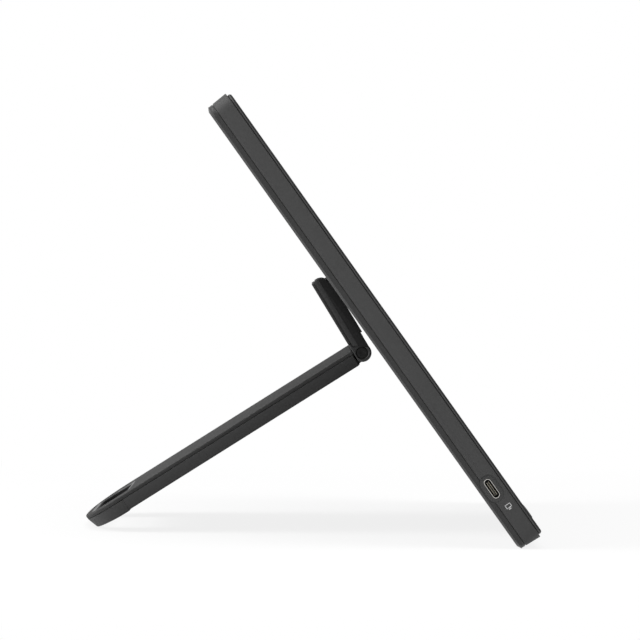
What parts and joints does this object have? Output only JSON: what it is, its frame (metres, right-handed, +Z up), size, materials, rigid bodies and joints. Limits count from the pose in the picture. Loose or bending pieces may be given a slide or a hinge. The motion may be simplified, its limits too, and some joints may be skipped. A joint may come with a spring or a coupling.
{
  "type": "portable monitor",
  "caption": "Slim portable monitor leaning back on a two-part folding rear stand, with side ports and front buttons.",
  "frame": {"origin": "centre of the footprint, on the table", "axes": "+Z up, +X across the screen to the user's right, screen faces -Y and up"},
  "size_m": [0.356, 0.1918, 0.1832],
  "materials": {
    "case_plastic": "fine matt texture, dark grey",
    "bezel_plastic": "fine matt texture, near black",
    "stand_plastic": "fine matt texture, near black",
    "cap_plastic": "satin black",
    "button_plastic": "satin dark grey",
    "screen_glass": "anti-glare matt glass",
    "film": "translucent film",
    "guide": "clear acrylic",
    "tray_metal": "rolled sheet",
    "led": "moulded",
    "board": "solder mask",
    "chip": "moulded",
    "port_metal": "nickel plated",
    "flex": "polyimide film",
    "steel": "ground",
    "dark_metal": "black oxide",
    "rubber": "matt moulded rubber"
  },
  "bodies": {
    "monitor": {"rear_panel": "case_plastic", "main_frame": "case_plastic", "front_bezel": "bezel_plastic", "screen_glass": "screen_glass", "optical_films": "film", "light_guide": "guide", "panel_tray": "tray_metal", "led_strip": "led", "main_board": "board", "board_chips": "chip", "port_shell_left": "port_metal", "port_shell_right": "port_metal", "port_tongue_left": "chip", "port_tongue_right": "chip", "panel_flex": "flex", "button_board": "board", "button_switches": "chip", "button_flex": "flex", "stand_plate": "steel", "hinge_brackets": "dark_metal", "hinge_pins": "steel", "frame_screws": "dark_metal", "board_screws": "steel", "bracket_screws": "dark_metal"},
    "link": {"link_body": "stand_plastic", "link_cover": "stand_plastic", "link_pad": "rubber", "link_screws": "dark_metal", "barrel_pins": "steel", "barrel_caps": "cap_plastic"},
    "leg": {"leg_shell": "stand_plastic", "leg_cover": "case_plastic", "leg_core": "steel", "leg_nose": "rubber", "leg_screws": "dark_metal"},
    "power_cap": {"button_power": "button_plastic"},
    "minus_cap": {"button_minus": "button_plastic"},
    "plus_cap": {"button_plus": "button_plastic"}
  },
  "joints": [
    {"name": "link_hinge", "type": "hinge", "parent": "monitor", "child": "link", "pos_m": [0, -0.00718, 0.10445], "axis": [1, 0, 0], "range_deg": [-3.15, 86]},
    {"name": "leg_hinge", "type": "hinge", "parent": "link", "child": "leg", "pos_m": [0, -0.0241, 0.07694], "axis": [-1, 0, 0], "range_deg": [0, 89.11]},
    {"name": "power_press", "type": "slide", "parent": "monitor", "child": "power_cap", "axis": [0, 0.8116, -0.5842], "range_m": [0, 0.00025], "stiffness_N_per_m": 5000, "springref_m": -0.0001},
    {"name": "minus_press", "type": "slide", "parent": "monitor", "child": "minus_cap", "axis": [0, 0.8116, -0.5842], "range_m": [0, 0.00025], "stiffness_N_per_m": 5000, "springref_m": -0.0001},
    {"name": "plus_press", "type": "slide", "parent": "monitor", "child": "plus_cap", "axis": [0, 0.8116, -0.5842], "range_m": [0, 0.00025], "stiffness_N_per_m": 5000, "springref_m": -0.0001}
  ]
}
